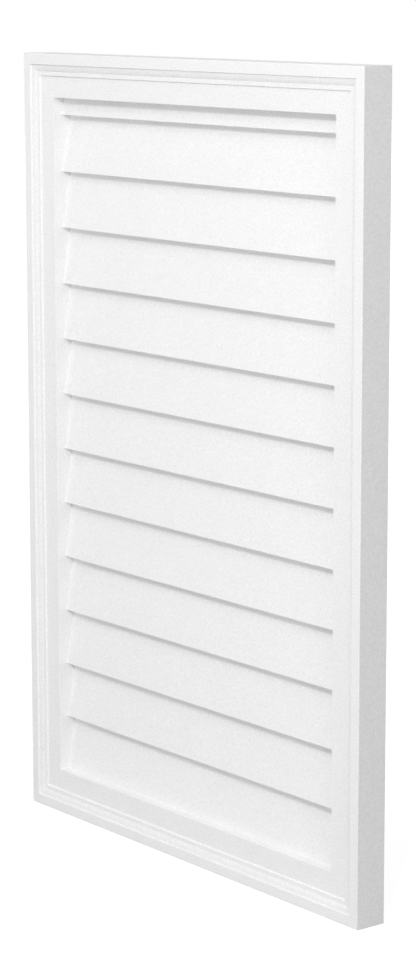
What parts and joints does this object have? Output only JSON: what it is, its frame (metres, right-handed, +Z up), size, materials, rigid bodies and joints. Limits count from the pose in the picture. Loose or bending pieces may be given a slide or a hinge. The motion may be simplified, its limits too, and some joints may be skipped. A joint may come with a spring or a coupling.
{
  "type": "decorative louvred vent",
  "caption": "Rectangular decorative gable vent moulded in one piece: a mitred moulding frames a closed field of tilted louvre boards, and the flat back fixes to a wall.",
  "frame": {"origin": "centre of the flat back face, in the plane of the wall", "axes": "+X to the right as seen from the front, +Y into the wall, +Z up along the panel's height"},
  "size_m": [0.6096, 0.0381, 0.9144],
  "materials": {
    "primed_polyurethane": "factory primer, matt white with a fine stipple"
  },
  "bodies": {
    "root": {"vent_panel": "primed_polyurethane"}
  },
  "joints": []
}
